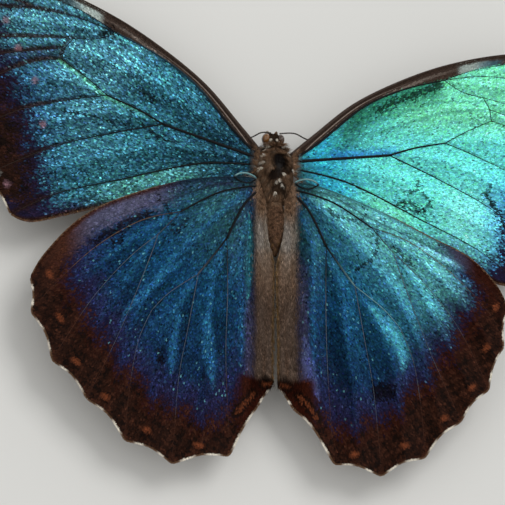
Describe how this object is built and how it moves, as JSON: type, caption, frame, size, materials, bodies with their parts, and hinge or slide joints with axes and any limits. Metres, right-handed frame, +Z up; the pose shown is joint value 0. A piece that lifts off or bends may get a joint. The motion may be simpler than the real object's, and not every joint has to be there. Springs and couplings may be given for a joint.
{
  "type": "blue morpho butterfly",
  "caption": "Life-size blue morpho butterfly at rest, wings held open and nearly flat, standing on its middle and hind legs.",
  "frame": {"origin": "on the floor that the feet stand on, under the middle of the whole butterfly", "axes": "+X to the butterfly's right, across the wings; +Y forward, the way the head points; +Z up"},
  "size_m": [0.1404, 0.086, 0.0096],
  "materials": {
    "forewing": "satin iridescent scales, turquoise blue with a dark brown rim",
    "hindwing": "satin iridescent scales, deep blue with a wide brown rim",
    "fur": "short dense brown hair",
    "abdomen": "short flat grey-brown hair and scales",
    "eye": "smooth orange-brown",
    "chitin": "dark brown horny skin"
  },
  "bodies": {
    "root": {"head": "fur", "prothorax": "fur", "thorax": "fur", "abdomen": "abdomen", "proboscis": "chitin", "eye_left": "eye", "eye_right": "eye", "palp_left": "fur", "palp_right": "fur", "antenna_left": "chitin", "antenna_right": "chitin", "foreleg_left": "chitin", "foreleg_right": "chitin", "midleg_left": "chitin", "midleg_right": "chitin", "hindleg_left": "chitin", "hindleg_right": "chitin", "forewing_left": "forewing", "forewing_right": "forewing", "hindwing_left": "hindwing", "hindwing_right": "hindwing"}
  },
  "joints": []
}
